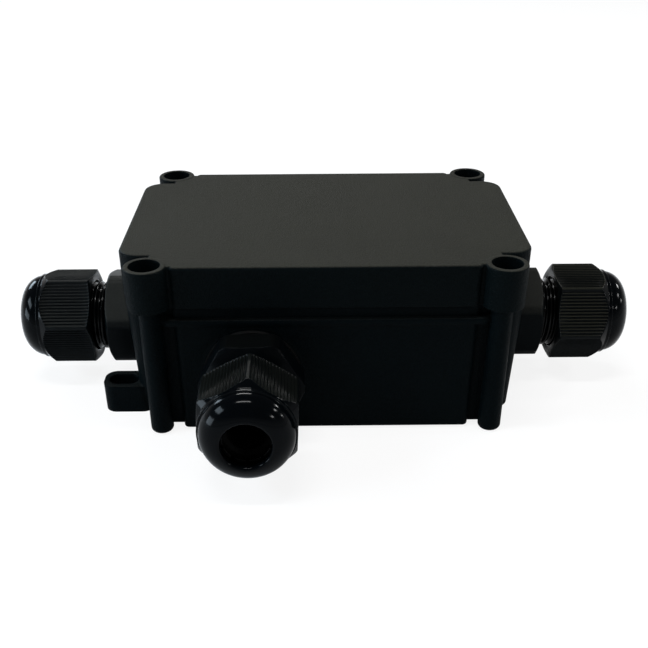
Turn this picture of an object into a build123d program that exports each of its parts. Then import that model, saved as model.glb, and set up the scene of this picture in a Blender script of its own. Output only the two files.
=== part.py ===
from build123d import *
import math
import os

# Three-way waterproof combiner box. Millimetres, +Z up, origin on the plane of the feet, midway between
# the four lid screws. The front (-Y) long wall carries one cable gland and each short wall another.

# Screw posts of the lid, and the slimmer corner columns of the base that carry them down to the feet
post_spacing_x = 90.0
post_spacing_y = 68.6
post_r = 5.4
post_proud = 0.1
post_wall = 1.4
column_wall = 0.55
foot_flare = 0.3
foot_inset = 0.3
foot_reach = 0.5
foot_round = 1.3

# Outline: a deep block between the posts, and shallower wings past them out to the short walls
post_gap = 0.6
base_block_proud = 0.9
lid_overhang = 0.7
block_corner_r = 1.6
wing_reach = 8.3
wing_inset = 6.5
wing_corner_r = 5.5
lid_neck_proud = 0.6
base_neck_inset = 1.6
block_draft = 0.3
wing_draft = 2.6

# Heights and walls; the base is as high as its gland pads need
floor_z = 0.4
floor_t = 2.8
pad_foot_gap = 3.7
pad_rim_gap = 5.9
lid_height = 11.0
wall = 2.8
cavity_corner_r = 1.0
lid_edge_round = 0.8
post_edge_round = 0.45
bottom_edge_round = 0.6

# Flange below the rim of the base, and the recess above it in the long walls
flange_drop = 3.5
flange_reach = 0.5
flange_lap = 0.6
flange_t = 1.7
flange_corner_r = 3.0
recess_depth = 1.0

# Lid gasket in its groove in the base rim
gasket_w = 1.0
gasket_h = 1.0
gasket_inset = 1.4
gasket_corner_r = 0.4

# Lid screws and their inserts
screw_seat_t = 2.6
screw_r = 1.5
screw_head_gap = 0.6
screw_head_h = 2.6
screw_head_bevel = 0.65
screw_tip = 3.1
screw_end_gap = 1.0
screw_clearance = 0.25
cross_w = 0.9
cross_length = 3.6
cross_depth = 1.4
insert_wall = 0.5
insert_length = 8.0
insert_sink = 0.4

# Mounting ears, on one diagonal
ear_projection = 10.5
ear_inset = 6.35
ear_side_wall = 1.8
ear_height = 8.2
ear_corner_r = 3.2
slot_length = 8.2
slot_width = 5.3
slot_corner_r = 2.4
slot_end_wall = 1.5

# Glands: the same three everywhere, set out from a flat pad on the wall
thread_r = 9.8
entry_clearance = 0.3
pad_margin = 0.6
pad_proud = 0.1
pad_back = 1.7
front_gland_offset = 25.7
washer_w = 2.8
washer_t = 1.4
hex_wall = 2.7
hex_t = 7.3
hex_corner_cut = 1.3
hex_bevel = 1.2
neck_length = 13.6
neck_wall = 1.45
neck_shoulder = 1.85
cage_bore_depth = 11.2
thread_chamfer = 0.8
locknut_wall = 2.2
locknut_t = 5.0
locknut_corner_cut = 1.3
locknut_turn = 30.0
entry_spare = 1.7
left_body_turn = -8.7
right_body_turn = -4.9
front_body_turn = 31.0
left_nut_turn = -17.4
right_nut_turn = 33.4
front_nut_turn = -4.0

# Clamping nut: a ribbed hexagon with a stepped dome
nut_gap = 4.45
nut_wall = 2.2
nut_corner_cut = 0.7
nut_back_band = 0.9
nut_back_bevel = 0.8
nut_rib_length = 13.5
nut_ribs = 14
rib_groove_w = 0.5
rib_groove_depth = 0.36
nut_shoulder = 2.3
nut_clearance = 0.3
dome_length = 6.8
dome_step = 0.45
dome_band = 0.9
dome_crown_inset = 0.9
dome_lip_round = 0.7
nut_opening_margin = 1.2
nut_opening_land = 1.6
nut_thread_length = 12.6

# Clamping cage and its rubber seal
cage_clearance = 0.3
cage_wall = 0.9
cage_fingers = 10
cage_finger_gap = 0.9
cage_collar = 5.5
cage_lift = 3.6
cage_tip_margin = 0.65
cage_cone_gap = 0.6
seal_wall = 2.2
seal_fit = 0.05
seal_lead = 0.8

# Terminal strip inside
poles = 3
pole_wall = 1.05
pole_depth = 22.0
pole_height = 15.0
pole_round = 1.2
strip_x = 6.0
strip_y = 6.0
strip_web_depth = 12.0
strip_web_height = 7.0
barrel_r = 3.0
barrel_wall = 0.9
barrel_sink = 2.5
barrel_height = 6.2
barrel_fit = 0.05
clamp_screw_spacing = 9.0
clamp_screw_r = 1.6
clamp_screw_length = 5.4
clamp_screw_tip = 0.9
clamp_well_gap = 0.5
clamp_slot_w = 0.6
clamp_slot_depth = 0.8
standoff_r = 3.4
standoff_height = 3.0
strip_screw_r = 1.25
strip_screw_head_r = 2.2
strip_screw_head_h = 1.7
strip_screw_head_bevel = 0.55
strip_screw_head_gap = 0.2
strip_screw_bite = 2.5
strip_slot_w = 0.7
strip_slot_depth = 0.9
strip_hole_clearance = 0.25

# Worked out: gland radii and widths across flats
entry_hole_r = thread_r + entry_clearance
washer_r = entry_hole_r + washer_w
pad_r = washer_r + pad_margin
hex_flats = 2 * (thread_r + hex_wall)
hex_corner_r = hex_flats / math.sqrt(3)
locknut_flats = 2 * (thread_r + locknut_wall)
nut_flats = 2 * (thread_r + nut_wall)
nut_corner_r = nut_flats / math.sqrt(3)
nut_bore_r = thread_r + nut_clearance
cage_bore_r = thread_r - neck_wall
cable_bore_r = cage_bore_r - neck_shoulder
cage_r = cage_bore_r - cage_clearance
seal_r = cage_r - cage_wall - seal_fit
seal_bore_r = seal_r - seal_wall
nut_opening_r = seal_bore_r + nut_opening_margin
dome_r = nut_flats / 2
dome_crown_r = nut_opening_r - dome_crown_inset
cage_tip_r = nut_opening_r + cage_tip_margin

# Worked out: distances along a gland from its pad, outward
pad_thickness = wall + pad_back
entry_reach = pad_thickness + locknut_t + entry_spare
hex_end = washer_t + hex_t
neck_tip = hex_end + neck_length
nut_back = hex_end + nut_gap
rib_start = nut_back + nut_back_band
dome_start = rib_start + nut_rib_length
nut_tip = dome_start + dome_length
cage_back = neck_tip - cage_bore_depth + cage_lift
cone_start = nut_back + nut_thread_length
cone_end = nut_tip - nut_opening_land
cone_run = (cone_end - cone_start) / (nut_bore_r - nut_opening_r)
cage_bend = cone_start + (nut_bore_r - cage_r) * cone_run - cage_cone_gap
cage_tip = cone_start + (nut_bore_r - cage_tip_r) * cone_run - cage_cone_gap

# Worked out: heights above the feet
floor_top_z = floor_z + floor_t
gland_z = floor_z + pad_foot_gap + pad_r
parting_z = gland_z + pad_r + pad_rim_gap
lid_face_z = parting_z + lid_height
post_top_z = lid_face_z + post_proud
screw_seat_z = parting_z + screw_seat_t
insert_top_z = parting_z - insert_sink
screw_tip_z = insert_top_z - insert_length - screw_tip
strip_base_z = floor_top_z + standoff_height
strip_web_z = strip_base_z + strip_web_height
barrel_z = strip_base_z + barrel_height
parting = Plane.XY.offset(parting_z)
parting_down = Plane(origin=(0, 0, parting_z), x_dir=(1, 0, 0), z_dir=(0, 0, -1))

# Worked out: the outline at the parting plane
post_x = post_spacing_x / 2
post_y = post_spacing_y / 2
counterbore_r = post_r - post_wall
screw_head_r = counterbore_r - screw_head_gap
screw_hole_r = screw_r + screw_clearance
insert_r = screw_hole_r + insert_wall
column_r = insert_r + column_wall
foot_r = column_r + foot_flare
corners = [(x, y) for x in (-1, 1) for y in (-1, 1)]
block_length = post_spacing_x - 2 * (post_r + post_gap)
base_block_depth = post_spacing_y + 2 * base_block_proud
lid_block_depth = base_block_depth + 2 * lid_overhang
wing_length = post_spacing_x + 2 * wing_reach
wing_depth = post_spacing_y - 2 * wing_inset
lid_neck_depth = post_spacing_y + 2 * lid_neck_proud
base_neck_depth = post_spacing_y - 2 * base_neck_inset
flange_length = post_spacing_x - 2 * (column_r - flange_lap)
flange_depth = base_block_depth + 2 * flange_reach
side_pad_x = wing_length / 2 + pad_proud
front_pad_y = base_block_depth / 2 + pad_proud
front_gland_x = front_gland_offset - post_x
wing_foot_x = wing_length / 2 - (parting_z - floor_z) * math.tan(math.radians(wing_draft))
ear_root = wing_foot_x - ear_corner_r
ear_reach = wing_foot_x + ear_projection
ear_y = wing_depth / 2 - ear_inset
ear_width = slot_width + 2 * ear_side_wall

# Worked out: the terminal strip
pole_width = 2 * (barrel_r + barrel_fit + pole_wall)
pole_pitch = pole_width + 2 * (strip_screw_head_r + strip_screw_head_gap)
barrel_bore_r = barrel_r - barrel_wall
barrel_length = pole_depth - 2 * barrel_sink
clamp_well_r = clamp_screw_r + clamp_well_gap
pole_centres = [(strip_x + (pole - (poles - 1) / 2) * pole_pitch, strip_y) for pole in range(poles)]
web_centres = [(x + pole_pitch / 2, y) for x, y in pole_centres[:-1]]
clamp_centres = [(x, y + end * clamp_screw_spacing / 2) for x, y in pole_centres for end in (-1, 1)]
barrel_end = Plane(origin=(0, strip_y + barrel_length / 2, barrel_z), x_dir=(1, 0, 0), z_dir=(0, -1, 0))

# Each gland's seat: its plane on the pad, with z outward and x upward, and how far hexagon and nut are turned
left_seat = Plane(origin=(-side_pad_x, 0, gland_z), x_dir=(0, 0, 1), z_dir=(-1, 0, 0))
right_seat = Plane(origin=(side_pad_x, 0, gland_z), x_dir=(0, 0, 1), z_dir=(1, 0, 0))
front_seat = Plane(origin=(front_gland_x, -front_pad_y, gland_z), x_dir=(0, 0, 1), z_dir=(0, -1, 0))
glands = {
    "left": (left_seat, left_body_turn, left_nut_turn),
    "right": (right_seat, right_body_turn, right_nut_turn),
    "front": (front_seat, front_body_turn, front_nut_turn),
}


def profile_plane(seat):
    """The plane through a gland's axis, with x out from the axis and y along it."""
    return Plane(origin=seat.origin, x_dir=seat.x_dir, z_dir=-seat.y_dir)


def gland_axis(seat):
    """The axis of a gland, pointing out of the box."""
    return Axis(seat.origin, seat.z_dir)


def base_slabs():
    """Length, depth, corner radius and draft of the three slabs that make the base's outline."""
    return [
        (block_length, base_block_depth, block_corner_r, block_draft),
        (wing_length, wing_depth, wing_corner_r, wing_draft),
        (post_spacing_x, base_neck_depth, block_corner_r, block_draft),
    ]


def gasket_band():
    """The band that the lid gasket fills in the rim of the base, as a sketch on the parting plane."""
    rims = [(block_length, base_block_depth, block_corner_r), (wing_length, wing_depth, wing_corner_r)]
    with BuildSketch(parting) as band:
        for inset, mode in ((gasket_inset, Mode.ADD), (gasket_inset + gasket_w, Mode.SUBTRACT)):
            for length, depth, corner in rims:
                RectangleRounded(
                    length - 2 * inset, depth - 2 * inset, max(corner - inset, gasket_corner_r), mode=mode
                )
    return band.sketch


def ribbed_hexagon():
    """Outline points of the nut's hexagon: every flat with its fine V grooves, every corner cut."""
    half_flat = nut_flats / 2 * math.tan(math.pi / 6) - nut_corner_cut
    groove_pitch = 2 * half_flat / nut_ribs
    profile = [(-half_flat, 0)]
    for groove in range(nut_ribs):
        middle = (groove + 0.5) * groove_pitch - half_flat
        profile += [
            (middle - rib_groove_w / 2, 0),
            (middle, rib_groove_depth),
            (middle + rib_groove_w / 2, 0),
        ]
    profile.append((half_flat, 0))
    points = []
    for flat in range(6):
        turn = math.radians(60 * flat + 30)
        for shift, depth in profile:
            reach = nut_flats / 2 - depth
            points.append((
                reach * math.cos(turn) - shift * math.sin(turn),
                reach * math.sin(turn) + shift * math.cos(turn),
            ))
    return points


def hexagon(flats, corner_cut):
    """Sketch of a hexagon of one width across flats, a corner on the x axis, with its corners cut off."""
    with BuildSketch() as outline:
        RegularPolygon(flats / 2, 6, major_radius=False)
        chamfer(outline.vertices(), corner_cut)
    return outline.sketch


def column(x, y):
    """One corner column of the base, from its rim down to the rounded foot."""
    with BuildPart() as post:
        with BuildSketch(parting):
            with Locations((x * post_x, y * post_y)):
                Circle(column_r)
        with BuildSketch(Plane.XY):
            with Locations((x * (post_x - foot_inset), y * (post_y + foot_reach))):
                Circle(foot_r)
        loft()
        fillet(post.edges().group_by(Axis.Z)[0], foot_round)
    return post.part


def lid_post(x, y):
    """One screw post of the lid, with a rounded top edge."""
    with BuildPart() as post:
        with BuildSketch(parting):
            with Locations((x * post_x, y * post_y)):
                Circle(post_r)
        extrude(amount=post_top_z - parting_z)
        fillet(post.edges().group_by(Axis.Z)[-1], post_edge_round)
    return post.part


# Base: tapered shell with columns, feet, ears, gland pads, standoffs, gasket groove and insert holes
with BuildPart() as base_box:
    for length, depth, corner, draft in base_slabs():
        with BuildSketch(parting_down):
            RectangleRounded(length, depth, corner)
        extrude(amount=parting_z - floor_z, taper=draft)
    fillet(base_box.edges().group_by(Axis.Z)[0], bottom_edge_round)
    with BuildSketch(parting):
        with GridLocations(0, base_block_depth, 1, 2):
            Rectangle(block_length + 2 * post_gap, 2 * recess_depth)
    extrude(amount=-flange_drop, mode=Mode.SUBTRACT)
    with BuildSketch(parting_down.offset(flange_drop)):
        RectangleRounded(flange_length, flange_depth, flange_corner_r)
    extrude(amount=flange_t)
    for x, y in corners:
        add(column(x, y))
    for side in (-1, 1):
        with BuildSketch(Plane.XY):
            with Locations((side * (ear_root + ear_reach) / 2, side * ear_y)):
                RectangleRounded(ear_reach - ear_root, ear_width, ear_corner_r)
        extrude(amount=ear_height)
        with BuildSketch(Plane.XY):
            with Locations((side * (ear_reach - slot_end_wall - slot_length / 2), side * ear_y)):
                RectangleRounded(slot_length, slot_width, slot_corner_r)
        extrude(amount=ear_height, mode=Mode.SUBTRACT)
    for length, depth, corner, draft in base_slabs()[:2]:
        with BuildSketch(parting_down):
            RectangleRounded(length - 2 * wall, depth - 2 * wall, max(corner - wall, cavity_corner_r))
        extrude(amount=parting_z - floor_top_z, taper=draft, mode=Mode.SUBTRACT)
    for seat, _, _ in glands.values():
        with BuildSketch(seat.offset(-pad_thickness)):
            Circle(pad_r)
        extrude(amount=pad_thickness)
    for seat, _, _ in glands.values():
        with BuildSketch(seat):
            Circle(entry_hole_r)
        extrude(amount=-pad_thickness, mode=Mode.SUBTRACT)
    with BuildSketch(Plane.XY.offset(floor_top_z - floor_t / 2)):
        with Locations(*web_centres):
            Circle(standoff_r)
    extrude(amount=standoff_height + floor_t / 2)
    with BuildSketch(Plane.XY.offset(strip_base_z)):
        with Locations(*web_centres):
            Circle(strip_screw_r)
    extrude(amount=-standoff_height - floor_t / 2, mode=Mode.SUBTRACT)
    add(gasket_band())
    extrude(amount=-gasket_h, mode=Mode.SUBTRACT)
    with Locations(parting):
        with GridLocations(post_spacing_x, post_spacing_y, 2, 2):
            CounterBoreHole(
                screw_hole_r, insert_r, insert_sink + insert_length, parting_z - screw_tip_z + screw_end_gap
            )

# Gasket: one band of rubber, flush with the rim
with BuildPart() as lid_gasket:
    add(gasket_band())
    extrude(amount=-gasket_h)

# Brass inserts moulded into the columns
with BuildPart() as thread_inserts:
    with BuildSketch(Plane.XY.offset(insert_top_z)):
        with GridLocations(post_spacing_x, post_spacing_y, 2, 2):
            Circle(insert_r)
            Circle(screw_hole_r, mode=Mode.SUBTRACT)
    extrude(amount=-insert_length)

# Lid: shallow shell with screw posts; its hollow is as wide as the base's
with BuildPart() as lid:
    for length, depth, corner in (
        (block_length, lid_block_depth, block_corner_r),
        (wing_length, wing_depth, wing_corner_r),
        (post_spacing_x, lid_neck_depth, block_corner_r),
    ):
        with BuildSketch(parting):
            RectangleRounded(length, depth, corner)
        extrude(amount=lid_face_z - parting_z)
    fillet(lid.edges().group_by(Axis.Z)[-1], lid_edge_round)
    for x, y in corners:
        add(lid_post(x, y))
    with BuildSketch(parting):
        RectangleRounded(block_length - 2 * wall, base_block_depth - 2 * wall, cavity_corner_r)
        RectangleRounded(wing_length - 2 * wall, wing_depth - 2 * wall, cavity_corner_r)
    extrude(amount=lid_face_z - wall - parting_z, mode=Mode.SUBTRACT)
    with Locations(Plane.XY.offset(post_top_z)):
        with GridLocations(post_spacing_x, post_spacing_y, 2, 2):
            CounterBoreHole(screw_hole_r, counterbore_r, post_top_z - screw_seat_z)

# Lid screws: pan heads with a cross recess, sunk in the posts
with BuildPart() as lid_screws:
    with BuildSketch(Plane.XY.offset(screw_seat_z)):
        with GridLocations(post_spacing_x, post_spacing_y, 2, 2):
            Circle(screw_head_r)
    extrude(amount=screw_head_h)
    chamfer(lid_screws.edges().group_by(Axis.Z)[-1], screw_head_bevel)
    with BuildSketch(Plane.XY.offset(screw_seat_z)):
        with GridLocations(post_spacing_x, post_spacing_y, 2, 2):
            Circle(screw_r)
    extrude(amount=screw_tip_z - screw_seat_z)
    with BuildSketch(Plane.XY.offset(screw_seat_z + screw_head_h)):
        with GridLocations(post_spacing_x, post_spacing_y, 2, 2):
            Rectangle(cross_length, cross_w)
            Rectangle(cross_w, cross_length)
    extrude(amount=-cross_depth, mode=Mode.SUBTRACT)

pieces = {
    "base_box": base_box,
    "lid_gasket": lid_gasket,
    "thread_inserts": thread_inserts,
    "lid": lid,
    "lid_screws": lid_screws,
}


def gland_washer(seat):
    """Flat sealing washer between the wall's pad and the gland's hexagon."""
    with BuildPart() as washer:
        with BuildSketch(seat):
            Circle(washer_r)
            Circle(entry_hole_r, mode=Mode.SUBTRACT)
        extrude(amount=washer_t)
    return washer


def gland_body(seat, turn):
    """Gland body: hexagon with bevelled corners, neck and entry for the threads, and the bore through all."""
    with BuildPart() as body:
        with BuildSketch(seat.offset(washer_t)):
            add(hexagon(hex_flats, hex_corner_cut), rotation=turn)
        extrude(amount=hex_t)
        with BuildSketch(profile_plane(seat)):
            with BuildLine():
                Polyline(
                    (hex_flats / 2, hex_end),
                    (hex_corner_r, hex_end - hex_bevel),
                    (hex_corner_r, hex_end),
                    close=True,
                )
            make_face()
        revolve(axis=gland_axis(seat), mode=Mode.SUBTRACT)
        with BuildSketch(seat.offset(-entry_reach)):
            Circle(thread_r)
        extrude(amount=entry_reach + neck_tip)
        chamfer(body.edges().filter_by(GeomType.CIRCLE).sort_by(gland_axis(seat))[0], thread_chamfer)
        chamfer(body.edges().filter_by(GeomType.CIRCLE).sort_by(gland_axis(seat))[-1], thread_chamfer)
        with Locations(seat.offset(neck_tip)):
            CounterBoreHole(cable_bore_r, cage_bore_r, cage_bore_depth)
    return body


def gland_locknut(seat):
    """Hexagon locknut on the entry thread inside the wall."""
    with BuildPart() as locknut:
        with BuildSketch(seat.offset(-pad_thickness)):
            add(hexagon(locknut_flats, locknut_corner_cut), rotation=locknut_turn)
            Circle(thread_r, mode=Mode.SUBTRACT)
        extrude(amount=-locknut_t)
    return locknut


def gland_cage(seat):
    """Clamping cage: a collar that slides in the body's bore, with fingers that lean in towards the dome."""
    with BuildPart() as cage:
        with BuildSketch(profile_plane(seat)):
            with BuildLine():
                Polyline(
                    (cage_r - cage_wall, cage_back),
                    (cage_r, cage_back),
                    (cage_r, cage_bend),
                    (cage_tip_r, cage_tip),
                    (cage_tip_r - cage_wall, cage_tip),
                    (cage_r - cage_wall, cage_bend),
                    close=True,
                )
            make_face()
        revolve(axis=gland_axis(seat))
        with BuildSketch(seat.offset(cage_back + cage_collar)):
            with PolarLocations(cage_r, cage_fingers):
                Rectangle(2 * cage_r - 2 * seal_bore_r, cage_finger_gap)
        extrude(amount=cage_tip - cage_back, mode=Mode.SUBTRACT)
    return cage


def gland_seal(seat):
    """Rubber bush inside the cage, which closes on the cable."""
    with BuildPart() as seal:
        with BuildSketch(seat.offset(cage_back)):
            Circle(seal_r)
            Circle(seal_bore_r, mode=Mode.SUBTRACT)
        extrude(amount=cage_bend - cage_back)
        mouth = seal.edges().group_by(gland_axis(seat))[-1].sort_by(SortBy.RADIUS)[0]
        chamfer(mouth, seal_lead)
    return seal


def gland_nut(seat, turn):
    """Clamping nut: hexagon with ribs up to its bevelled shoulder, stepped dome and the bore through both."""
    with BuildPart() as nut:
        with BuildSketch(seat.offset(nut_back)):
            add(hexagon(nut_flats, nut_corner_cut), rotation=turn)
        extrude(amount=nut_back_band)
        with BuildSketch(seat.offset(rib_start)):
            with BuildLine(Rotation(0, 0, turn)):
                Polyline(*ribbed_hexagon(), close=True)
            make_face()
        extrude(amount=nut_rib_length)
        with BuildSketch(profile_plane(seat)):
            with BuildLine():
                Polyline(
                    (dome_r, dome_start),
                    (nut_corner_r, dome_start - nut_shoulder),
                    (nut_corner_r, dome_start),
                    close=True,
                )
            make_face()
            with BuildLine():
                Polyline(
                    (dome_r, nut_back),
                    (nut_corner_r, nut_back),
                    (nut_corner_r, nut_back + nut_back_bevel),
                    close=True,
                )
            make_face()
        revolve(axis=gland_axis(seat), mode=Mode.SUBTRACT)
        with BuildSketch(profile_plane(seat)):
            with BuildLine():
                dome = EllipticalCenterArc(
                    (dome_crown_r, dome_start + dome_band),
                    dome_r - dome_step - dome_crown_r,
                    nut_tip - dome_start - dome_band,
                    arc_size=90,
                )
                Polyline(
                    dome @ 0,
                    (dome_r, dome_start + dome_band),
                    (dome_r, dome_start),
                    (0, dome_start),
                    (0, nut_tip),
                    dome @ 1,
                )
            make_face()
        revolve(axis=gland_axis(seat))
        with BuildSketch(profile_plane(seat)):
            with BuildLine():
                Polyline(
                    (0, nut_back),
                    (nut_bore_r, nut_back),
                    (nut_bore_r, cone_start),
                    (nut_opening_r, cone_end),
                    (nut_opening_r, nut_tip),
                    (0, nut_tip),
                    close=True,
                )
            make_face()
        revolve(axis=gland_axis(seat), mode=Mode.SUBTRACT)
        rim = nut.edges().filter_by(GeomType.CIRCLE).group_by(gland_axis(seat))[-1].sort_by(SortBy.RADIUS)[0]
        fillet(rim, dome_lip_round)
    return nut


for side, (seat, body_turn, nut_turn) in glands.items():
    pieces[f"{side}_gland_washer"] = gland_washer(seat)
    pieces[f"{side}_gland_body"] = gland_body(seat, body_turn)
    pieces[f"{side}_gland_locknut"] = gland_locknut(seat)
    pieces[f"{side}_gland_cage"] = gland_cage(seat)
    pieces[f"{side}_gland_seal"] = gland_seal(seat)
    pieces[f"{side}_gland_nut"] = gland_nut(seat, nut_turn)

# Terminal strip: insulating poles joined by a low web, bored for the barrels and their clamp screws
with BuildPart() as terminal_strip:
    with BuildSketch(Plane.XY.offset(strip_base_z)):
        with Locations(*pole_centres):
            RectangleRounded(pole_width, pole_depth, pole_round)
    extrude(amount=pole_height)
    with BuildSketch(Plane.XY.offset(strip_base_z)):
        with Locations((strip_x, strip_y)):
            Rectangle((poles - 1) * pole_pitch, strip_web_depth)
    extrude(amount=strip_web_height)
    with BuildSketch(Plane.XY.offset(strip_base_z)):
        with Locations(*web_centres):
            Circle(strip_screw_r + strip_hole_clearance)
    extrude(amount=strip_web_height, mode=Mode.SUBTRACT)
    with BuildSketch(barrel_end):
        with Locations(*[(x, 0) for x, _ in pole_centres]):
            Circle(barrel_r + barrel_fit)
    extrude(amount=pole_depth, both=True, mode=Mode.SUBTRACT)
    with BuildSketch(Plane.XY.offset(barrel_z)):
        with Locations(*clamp_centres):
            Circle(clamp_well_r)
    extrude(amount=pole_height, mode=Mode.SUBTRACT)

# Brass barrels, one through each pole, with threaded holes for the clamp screws
with BuildPart() as terminal_barrels:
    with BuildSketch(barrel_end):
        with Locations(*[(x, 0) for x, _ in pole_centres]):
            Circle(barrel_r)
            Circle(barrel_bore_r, mode=Mode.SUBTRACT)
    extrude(amount=barrel_length)
    with BuildSketch(Plane.XY.offset(barrel_z)):
        with Locations(*clamp_centres):
            Circle(clamp_screw_r)
    extrude(amount=barrel_r, mode=Mode.SUBTRACT)

# Clamp screws: slotted studs that reach into the barrels' bores
with BuildPart() as clamp_screws:
    with BuildSketch(Plane.XY.offset(barrel_z + clamp_screw_tip)):
        with Locations(*clamp_centres):
            Circle(clamp_screw_r)
    extrude(amount=clamp_screw_length)
    with BuildSketch(Plane.XY.offset(barrel_z + clamp_screw_tip + clamp_screw_length)):
        with Locations(*clamp_centres):
            Rectangle(2 * clamp_screw_r, clamp_slot_w)
    extrude(amount=-clamp_slot_depth, mode=Mode.SUBTRACT)

# Screws that hold the strip on its standoffs
with BuildPart() as strip_screws:
    with BuildSketch(Plane.XY.offset(strip_web_z)):
        with Locations(*web_centres):
            Circle(strip_screw_head_r)
    extrude(amount=strip_screw_head_h)
    chamfer(strip_screws.edges().group_by(Axis.Z)[-1], strip_screw_head_bevel)
    with BuildSketch(Plane.XY.offset(strip_web_z)):
        with Locations(*web_centres):
            Circle(strip_screw_r)
    extrude(amount=-strip_web_height - strip_screw_bite)
    with BuildSketch(Plane.XY.offset(strip_web_z + strip_screw_head_h)):
        with Locations(*web_centres):
            Rectangle(2 * strip_screw_head_r, strip_slot_w)
    extrude(amount=-strip_slot_depth, mode=Mode.SUBTRACT)

pieces["terminal_strip"] = terminal_strip
pieces["terminal_barrels"] = terminal_barrels
pieces["clamp_screws"] = clamp_screws
pieces["strip_screws"] = strip_screws

os.makedirs("parts", exist_ok=True)
for name, piece in pieces.items():
    piece.part.label = name
    export_step(piece.part, f"parts/{name}.step")
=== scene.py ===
"""Waterproof combiner box with three cable glands: threads, ribbed nuts, finishes and a small studio."""

from __future__ import annotations

import logging
import math
from dataclasses import dataclass, field, replace
from enum import Enum

import bmesh
import bpy
from mathutils import Matrix, Vector

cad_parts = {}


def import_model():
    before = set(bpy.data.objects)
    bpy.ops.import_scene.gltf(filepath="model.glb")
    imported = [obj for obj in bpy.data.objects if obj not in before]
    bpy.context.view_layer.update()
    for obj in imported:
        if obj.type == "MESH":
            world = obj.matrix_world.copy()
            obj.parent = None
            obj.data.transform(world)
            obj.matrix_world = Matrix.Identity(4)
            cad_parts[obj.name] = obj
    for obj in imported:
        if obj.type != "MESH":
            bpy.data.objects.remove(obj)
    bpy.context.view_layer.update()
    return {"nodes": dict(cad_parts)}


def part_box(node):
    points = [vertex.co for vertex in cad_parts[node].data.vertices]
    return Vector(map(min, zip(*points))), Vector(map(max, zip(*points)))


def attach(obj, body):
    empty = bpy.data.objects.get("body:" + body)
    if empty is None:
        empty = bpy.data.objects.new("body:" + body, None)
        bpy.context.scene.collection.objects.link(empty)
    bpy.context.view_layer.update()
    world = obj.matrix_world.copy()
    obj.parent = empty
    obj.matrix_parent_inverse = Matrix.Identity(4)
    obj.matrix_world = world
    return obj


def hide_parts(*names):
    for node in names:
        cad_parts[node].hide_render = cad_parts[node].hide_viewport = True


LOG = logging.getLogger("combiner_box")
MM = 0.001
Colour = tuple[float, float, float, float]


class Side(Enum):
    """The wall that a gland stands on, with the direction in which it points."""

    LEFT = ("left", (-1.0, 0.0, 0.0))
    RIGHT = ("right", (1.0, 0.0, 0.0))
    FRONT = ("front", (0.0, -1.0, 0.0))

    @property
    def prefix(self) -> str:
        """The first word of the names of this gland's nodes."""
        return self.value[0]

    @property
    def outward(self) -> Vector:
        """The direction out of the box."""
        return Vector(self.value[1])


class NodeTree:
    """A thin wrapper round a shader or group tree that adds and links nodes in one line."""

    def __init__(self, tree: bpy.types.NodeTree) -> None:
        """Keep the tree.

        Args:
            tree: the node tree to fill.
        """
        self.tree = tree

    def add(self, kind: str, **settings: object) -> bpy.types.Node:
        """Add one node.

        Args:
            kind: the node's type name.
            settings: attributes to set on the node; an input's value is given as in_Name.

        Returns:
            The new node.
        """
        node = self.tree.nodes.new(kind)
        for name, value in settings.items():
            if name.startswith("in_"):
                node.inputs[name[3:].replace("_", " ")].default_value = value
            else:
                setattr(node, name, value)
        return node

    def link(self, source: bpy.types.NodeSocket, target: bpy.types.NodeSocket) -> None:
        """Link an output socket to an input socket."""
        self.tree.links.new(source, target)

    def math(self, operation: str, first: object, second: object = 0.5) -> bpy.types.NodeSocket:
        """Add a math node.

        Args:
            operation: Blender's name of the operation.
            first: a socket or a number.
            second: a socket or a number.

        Returns:
            The node's output socket.
        """
        node = self.add("ShaderNodeMath", operation=operation)
        for index, value in enumerate((first, second)):
            if isinstance(value, bpy.types.NodeSocket):
                self.link(value, node.inputs[index])
            else:
                node.inputs[index].default_value = value
        return node.outputs[0]

    def remap(self, value: bpy.types.NodeSocket, low: float, high: float, out_low: float, out_high: float,
              ) -> bpy.types.NodeSocket:
        """Map a value from one range to another and clamp it.

        Args:
            value: the socket to map.
            low: lowest value in.
            high: highest value in.
            out_low: value out at the lowest.
            out_high: value out at the highest.

        Returns:
            The mapped value's socket.
        """
        node = self.add("ShaderNodeMapRange", clamp=True)
        self.link(value, node.inputs["Value"])
        for name, number in (("From Min", low), ("From Max", high), ("To Min", out_low), ("To Max", out_high)):
            node.inputs[name].default_value = number
        return node.outputs["Result"]

    def mix(self, mask: bpy.types.NodeSocket, first: object, second: object) -> bpy.types.NodeSocket:
        """Mix two colours by a mask.

        Args:
            mask: the factor.
            first: the colour, or its socket, where the mask is 0.
            second: the colour, or its socket, where the mask is 1.

        Returns:
            The mixed colour's socket.
        """
        node = self.add("ShaderNodeMix", data_type="RGBA")
        self.link(mask, node.inputs["Factor"])
        for name, value in (("A", first), ("B", second)):
            socket = next(item for item in node.inputs if item.name == name and item.type == "RGBA")
            if isinstance(value, bpy.types.NodeSocket):
                self.link(value, socket)
            else:
                socket.default_value = value
        return next(item for item in node.outputs if item.type == "RGBA")

    def scale(self, colour: bpy.types.NodeSocket, factor: bpy.types.NodeSocket) -> bpy.types.NodeSocket:
        """Make a colour darker or lighter.

        Args:
            colour: the colour's socket.
            factor: the factor's socket.

        Returns:
            The scaled colour's socket.
        """
        node = self.add("ShaderNodeVectorMath", operation="SCALE")
        self.link(colour, node.inputs[0])
        self.link(factor, node.inputs["Scale"])
        return node.outputs[0]


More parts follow.
